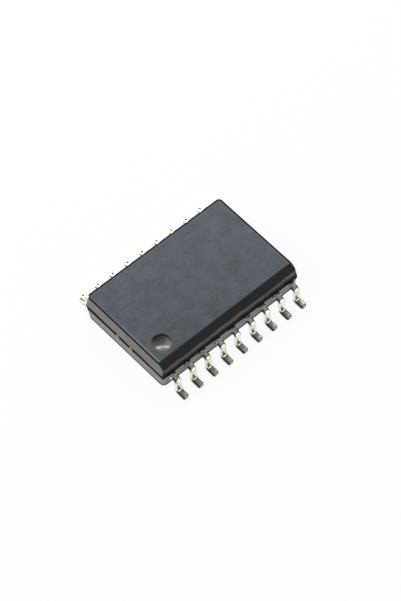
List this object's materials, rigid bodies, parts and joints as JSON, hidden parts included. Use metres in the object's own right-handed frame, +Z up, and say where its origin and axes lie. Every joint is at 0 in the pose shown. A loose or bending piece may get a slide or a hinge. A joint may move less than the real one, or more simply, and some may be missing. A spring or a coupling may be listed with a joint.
{
  "type": "soic chip",
  "caption": "Wide small-outline surface-mount chip: a moulded black body with gull-wing leads along both long sides, a pin 1 dimple and a chamfered edge.",
  "frame": {"origin": "centre of the seating plane, under the middle of the body", "axes": "+X along the lead rows from pin 1 to pin 9, +Y from the row of pins 1 to 9 to the row of pins 10 to 18, +Z up from the board"},
  "size_m": [0.0116, 0.0104, 0.0025],
  "materials": {
    "mould_compound": "fine matte epoxy moulding",
    "tinned_lead": "matte tin plating on copper alloy",
    "copper_frame": "bare copper alloy",
    "silver_epoxy": "cured silver-filled epoxy",
    "silicon": "polished silicon",
    "gold_wire": "drawn gold"
  },
  "bodies": {
    "root": {"mould_body": "mould_compound", "die_paddle": "copper_frame", "die_attach": "silver_epoxy", "silicon_die": "silicon", "lead_1": "tinned_lead", "lead_2": "tinned_lead", "lead_3": "tinned_lead", "lead_4": "tinned_lead", "lead_5": "tinned_lead", "lead_6": "tinned_lead", "lead_7": "tinned_lead", "lead_8": "tinned_lead", "lead_9": "tinned_lead", "lead_10": "tinned_lead", "lead_11": "tinned_lead", "lead_12": "tinned_lead", "lead_13": "tinned_lead", "lead_14": "tinned_lead", "lead_15": "tinned_lead", "lead_16": "tinned_lead", "lead_17": "tinned_lead", "lead_18": "tinned_lead", "bond_wire_1": "gold_wire", "bond_wire_2": "gold_wire", "bond_wire_3": "gold_wire", "bond_wire_4": "gold_wire", "bond_wire_5": "gold_wire", "bond_wire_6": "gold_wire", "bond_wire_7": "gold_wire", "bond_wire_8": "gold_wire", "bond_wire_9": "gold_wire", "bond_wire_10": "gold_wire", "bond_wire_11": "gold_wire", "bond_wire_12": "gold_wire", "bond_wire_13": "gold_wire", "bond_wire_14": "gold_wire", "bond_wire_15": "gold_wire", "bond_wire_16": "gold_wire", "bond_wire_17": "gold_wire", "bond_wire_18": "gold_wire"}
  },
  "joints": []
}
